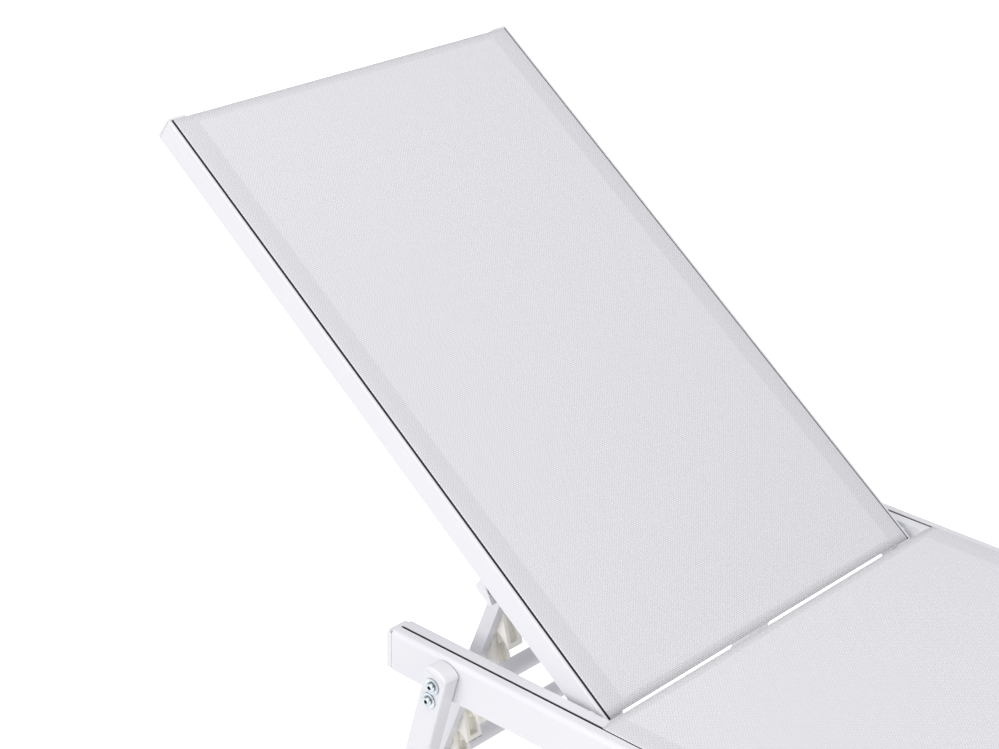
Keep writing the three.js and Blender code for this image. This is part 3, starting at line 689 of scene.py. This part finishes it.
# %% Pivot bolts, spacers and hinge pins
BOLT_SHANK = 3 * MM
BOLT_HEAD = 6.5 * MM
BOLT_HEAD_HEIGHT = 3 * MM
SPACER_HOLE = 3.3 * MM
SPACER_RADIUS = 7 * MM
SPACER_EDGE = 0.4 * MM
PIN_SHANK = 3 * MM
PIN_HEAD = 5.5 * MM
PIN_HEAD_HEIGHT = 3 * MM
PIN_HEAD_EDGE = 0.9 * MM
PIN_TIP_EDGE = 0.5 * MM

for side_name, side in SIDES.items():
    head_end, tip = reach("pivot_bolt_" + side_name, side)
    place = place_at(centre_of("pivot_bolt_" + side_name) * Vector((0, 1, 1)), 0)
    bolt = socket_screw(
        -tip, -head_end - BOLT_HEAD_HEIGHT, BOLT_SHANK, BOLT_HEAD, BOLT_HEAD_HEIGHT)
    finished(on_side(bolt, -side), f"pivot_bolt_{side_name}_socket", "pivot_bolt_" + side_name, place)
    inner, outer = reach("pivot_spacer_" + side_name, side)
    spacer = [
        (inner, SPACER_HOLE), (inner, SPACER_RADIUS - SPACER_EDGE),
        (inner + SPACER_EDGE, SPACER_RADIUS), (outer - SPACER_EDGE, SPACER_RADIUS),
        (outer, SPACER_RADIUS - SPACER_EDGE), (outer, SPACER_HOLE), (inner, SPACER_HOLE)]
    finished(on_side(turned(spacer), side), f"pivot_spacer_{side_name}_turned",
             "pivot_spacer_" + side_name, place)
    head_end, tip = reach("hinge_pin_" + side_name, side)
    place = place_at(centre_of("hinge_pin_" + side_name) * Vector((0, 1, 1)), BACK_ANGLE)
    pin = [
        (head_end, 0), (head_end, PIN_HEAD - PIN_HEAD_EDGE),
        (head_end + PIN_HEAD_EDGE, PIN_HEAD), (head_end + PIN_HEAD_HEIGHT, PIN_HEAD),
        (head_end + PIN_HEAD_HEIGHT, PIN_SHANK), (tip - PIN_TIP_EDGE, PIN_SHANK),
        (tip, PIN_SHANK - PIN_TIP_EDGE), (tip, 0)]
    finished(on_side(turned(pin), side), f"hinge_pin_{side_name}_turned",
             "hinge_pin_" + side_name, place)

# %% [markdown]
# ## The slings
# Each sling is one taut piece of mesh cloth. A cord sewn into each long side is slid into the
# groove of a rail, so the cloth crosses the rail's inner lip, turns down into the slot and leaves
# a thin gap at the slot's outer side. That gap looks dark because the cloth down in the slot is
# painted nearly black as painted shade. The cloth is laid out flat first: a grid whose columns
# are distances across the cloth and whose rows are distances along it. Then one formula bends
# it over the lips, and another lets it sag by a few millimetres between them. Because the grid
# keeps the flat distances, they are also the UV map, and the weave follows the cloth round the
# bend. Cloth simulation would only bring back what stretching takes out, so none is used.

# %% Laying out a sling
CLOTH = 0.6 * MM
HEM_CLOTH = 0.45 * MM
LIFT = 0.15 * MM
BEND = 1.2 * MM
DROP = 2.4 * MM
SIDE_HEM = 26 * MM
END_HEM = 10 * MM
CORNER_WIDTH = 15 * MM
SOFT_EDGE = 1.5 * MM
QUARTER = BEND * math.pi / 2
HEM_LINE = SOFT_EDGE / 3
FLAT_COLUMNS = 14
BEND_COLUMNS = 5
LONG_ROWS = 48
HEM_COLUMNS = 8
CUT_FROM_END = 80 * MM
CUT_FULL_BY = 20 * MM
# painted shade: past this share of the bend the cloth is painted nearly black
PAINTED_SHADE_FROM = 0.75  # share of the bend past which the cloth is in the slot


def ramp(value, low, high):
    """How far a value is from low to high, from 0 to 1."""
    return min(1.0, max(0.0, (value - low) / (high - low)))


class Sling:
    """The flat sizes of a sling and the way it lies between two rails."""

    def __init__(self, node, rail, place, sag, corner_cut, slot_side):
        low, high = local_box(node, place)
        rail_top = local_box(rail + "_left", place)[1].z
        groove = RAIL_SLOT[rail]["groove"]
        self.node = node
        self.place = place
        self.top = rail_top + LIFT + HEM_CLOTH + CLOTH
        self.low = low.y
        self.length = high.y - low.y
        self.slot = local_box(rail + "_left")[1].x - groove
        self.straight = self.slot - slot_side - BEND
        self.half = self.straight + QUARTER + DROP
        self.sag = sag
        self.corner_cut = corner_cut

    def columns(self):
        """Distances from the middle line to the sewn edge, close together at the bend."""
        inside = self.straight - SIDE_HEM - SOFT_EDGE
        flat = [inside * step / FLAT_COLUMNS for step in range(FLAT_COLUMNS + 1)]
        hem = [self.straight - SIDE_HEM + SOFT_EDGE, self.straight - SIDE_HEM / 2, self.straight]
        steps = range(1, BEND_COLUMNS + 1)
        bend = [self.straight + QUARTER * step / BEND_COLUMNS for step in steps]
        return flat + hem + bend + [self.half]

    def rows(self):
        """Distances along the cloth, with two lines at the inner edge of each end hem."""
        ends = [0, END_HEM - HEM_LINE, END_HEM + HEM_LINE]
        far = [self.length - distance for distance in reversed(ends)]
        room = far[0] - ends[-1]
        middle = [ends[-1] + room * step / LONG_ROWS for step in range(1, LONG_ROWS)]
        return ends + middle + far

    def point(self, across, along, depth):
        """Where a place on the flat cloth lies, so far below the cloth's top face."""
        run = abs(across)
        side = 1 if across >= 0 else -1
        radius = BEND + CLOTH / 2 - depth
        turn = ramp(run, self.straight, self.straight + QUARTER) * math.pi / 2
        out = min(run, self.straight) + radius * math.sin(turn)
        fall = BEND + CLOTH / 2 - radius * math.cos(turn) + max(0, run - self.straight - QUARTER)
        bowl = max(0, 1 - (run / self.straight) ** 2) * math.sin(math.pi * along / self.length)
        cut = self.corner_cut * ramp(run, self.half - CORNER_WIDTH, self.half)
        shift = cut * ramp(along, self.length - CUT_FROM_END, self.length - CUT_FULL_BY)
        return Vector((side * out, self.low + along - shift, self.top - fall - self.sag * bowl))

    def layers(self, across, along):
        """One where the cloth is doubled by a hem, and nought elsewhere."""
        edge = self.straight - SIDE_HEM
        side = ramp(abs(across), edge - SOFT_EDGE, edge + SOFT_EDGE)
        nearest = min(along, self.length - along)
        end = 1 - ramp(nearest, END_HEM - HEM_LINE, END_HEM + HEM_LINE)
        return max(side, end)


def cloth_piece(sling, name, columns, rows, depth, thickness, replaces=False):
    """A piece of a sling's cloth from its flat columns and rows."""
    shape = bmesh.new()
    wide, long = len(columns) - 1, len(rows) - 1
    bmesh.ops.create_grid(shape, x_segments=wide, y_segments=long, size=1)
    uv = shape.loops.layers.uv.new("cloth")
    layers = shape.verts.layers.float.new("layers")
    groove = shape.verts.layers.float.new("groove")
    for vertex in shape.verts:
        across = columns[round((vertex.co.x + 1) / 2 * wide)]
        along = rows[round((vertex.co.y + 1) / 2 * long)]
        for loop in vertex.link_loops:
            loop[uv].uv = (across, along)
        vertex[layers] = sling.layers(across, along)
        # painted shade: cloth that has turned down into the slot is painted nearly black
        vertex[groove] = abs(across) > sling.straight + PAINTED_SHADE_FROM * QUARTER
        vertex.co = sling.point(across, along, depth)
    piece = finished(shape, name, sling.node, sling.place, replaces)
    piece.modifiers.clear()
    solid = piece.modifiers.new("thickness", "SOLIDIFY")
    solid.thickness = thickness
    solid.offset = 0
    solid.use_even_offset = True
    return piece


def rod(radius, start, end, broken=BROKEN_EDGE):
    """A round rod along Y from start to end."""
    shape = turned([
        (start, 0), (start, radius - broken), (start + broken, radius),
        (end - broken, radius), (end, radius - broken), (end, 0)], 24)
    bmesh.ops.rotate(
        shape, cent=(0, 0, 0), matrix=Matrix.Rotation(math.pi / 2, 3, "Z"), verts=shape.verts)
    return shape


def make_sling(sling, name, bead_radius):
    """A sling with its hems and the cords in its long sides."""
    half = sling.columns()
    both = [-distance for distance in reversed(half[1:])] + half
    rows = sling.rows()
    cloth = cloth_piece(sling, name + "_cloth", both, rows, CLOTH / 2, CLOTH, replaces=True)
    under = CLOTH + HEM_CLOTH / 2
    edge = sling.straight - SIDE_HEM
    hem = [edge, *(distance for distance in half if distance > edge)]
    inside = [edge * step / HEM_COLUMNS for step in range(-HEM_COLUMNS, HEM_COLUMNS + 1)]
    for side_name, side in SIDES.items():
        outward = sorted(side * distance for distance in hem)
        cloth_piece(
            sling, f"{name}_side_hem_{side_name}", outward, rows, under, HEM_CLOTH)
        bead = rod(bead_radius, sling.low, sling.low + sling.length - sling.corner_cut)
        sunk = sling.top - CLOTH / 2 - BEND - DROP - bead_radius
        bmesh.ops.translate(bead, vec=(side * sling.slot, 0, sunk), verts=bead.verts)
        finished(
            bead, f"{name}_cord_{side_name}", sling.node, sling.place, False, "white_plastic")
    for end_name, start in (("low", 0), ("high", sling.length - END_HEM)):
        cloth_piece(
            sling, f"{name}_end_hem_{end_name}", inside, [start, start + END_HEM], under, HEM_CLOTH)
    sewn(sling, name)


# %% Stitches
STITCH_PITCH = 3.6 * MM
STITCH_LENGTH = 2.5 * MM
THREAD = 0.22 * MM
UNSEWN = 3 * MM  # from the end of a row to the rail's lip


def stitch_row(shape, sling, along, width):
    """Adds a row of thread stitches across a sling, each a short six-sided capsule."""
    count = int(2 * width / STITCH_PITCH)
    for index in range(count + 1):
        middle = (index - count / 2) * STITCH_PITCH
        spot = sling.point(middle, along, 0)
        half = STITCH_LENGTH / 2
        thread = turned([
            (-half, 0), (-half + THREAD, THREAD), (half - THREAD, THREAD), (half, 0)], 6)
        bmesh.ops.translate(thread, vec=spot, verts=thread.verts)
        part = bpy.data.meshes.new("stitch")
        thread.to_mesh(part)
        thread.free()
        shape.from_mesh(part)
        bpy.data.meshes.remove(part)


def sewn(sling, name):
    """The stitches along both end hems of a sling."""
    shape = bmesh.new()
    for along in (END_HEM - SOFT_EDGE, sling.length - END_HEM + SOFT_EDGE):
        stitch_row(shape, sling, along, sling.straight - UNSEWN)
    return finished(
        shape, name + "_stitches", sling.node, sling.place, False, slot="white_plastic")


# %% Backrest sling
BACK_CORD = 2.1 * MM
backrest_sling = Sling(
    "backrest_sling", "backrest_rail", BACK, sag=3 * MM, corner_cut=0, slot_side=0.95 * MM)
make_sling(
    backrest_sling, "backrest_sling",
    BACK_CORD)

# %% Seat sling
SEAT_CORD = 2.7 * MM
seat_sling = Sling(
    "seat_sling", "side_rail", LEVEL, sag=4 * MM, corner_cut=3 * MM, slot_side=-0.6 * MM)
make_sling(
    seat_sling, "seat_sling", SEAT_CORD)

# %% [markdown]
# ## Webs in the rack notches
# A rack is moulded with a wide round notch on both faces and a narrower slot in a web between
# them, which stiffens the hooks. The web is a square section spun half round the top of each
# notch, with both its ends pushed out along the notch's sides.

# %% Notch webs
NOTCH_COUNT = 6
NOTCH_PITCH = 38.4 * MM
NOTCH_FIRST = 38 * MM
NOTCH_DEPTH = 12 * MM
NOTCH_RADIUS = 8 * MM
WEB_INNER = 4.3 * MM
WEB_THICK = 7 * MM
WEB_REACH = 7 * MM
WEB_STEPS = 16
WEB_EASE = 0.8 * MM
WEB_ROOT = 0.3 * MM  # how far a web's outer side is sunk in its rack
REAR_SIDE = math.radians(36)
FRONT_SIDE = math.radians(60)


def down_and_forward(angle):
    """A direction so far forward of straight down the arm."""
    return Vector((0, -math.sin(angle), -math.cos(angle)))


def notch_web(shape, centre):
    """Adds the web of one notch: half a ring with two straight ends."""
    opening = down_and_forward((REAR_SIDE + FRONT_SIDE) / 2)
    upward = opening.cross(Vector((1, 0, 0)))
    if upward.z < 0:
        upward = -upward
    thick = Vector((WEB_THICK / 2, 0, 0))
    outer = NOTCH_RADIUS + WEB_ROOT
    corners = [
        centre + upward * WEB_INNER - thick, centre + upward * outer - thick,
        centre + upward * outer + thick, centre + upward * WEB_INNER + thick]
    start = shape.faces.new([shape.verts.new(corner) for corner in corners])
    spun = bmesh.ops.spin(
        shape, geom=[start], cent=centre, axis=(1, 0, 0), angle=-math.pi, steps=WEB_STEPS)
    last = next(item for item in spun["geom_last"] if isinstance(item, bmesh.types.BMFace))
    for face, side in ((start, FRONT_SIDE), (last, REAR_SIDE)):
        moved = bmesh.ops.extrude_face_region(shape, geom=[face])["geom"]
        ends = [item for item in moved if isinstance(item, bmesh.types.BMVert)]
        bmesh.ops.translate(shape, vec=down_and_forward(side) * WEB_REACH, verts=ends)
        bmesh.ops.delete(shape, geom=[face], context="FACES_ONLY")


for side_name, side in SIDES.items():
    webs = bmesh.new()
    across = centre_of("rack_" + side_name).x
    for index in range(NOTCH_COUNT):
        down = NOTCH_FIRST + index * NOTCH_PITCH
        notch_web(webs, Vector((across, -NOTCH_DEPTH, -down)))
    bmesh.ops.recalc_face_normals(webs, faces=webs.faces)
    ease(webs, WEB_EASE)
    finished(webs, f"rack_webs_{side_name}", "rack_" + side_name, ARMS, False)
print("webs in", NOTCH_COUNT, "notches on each side")
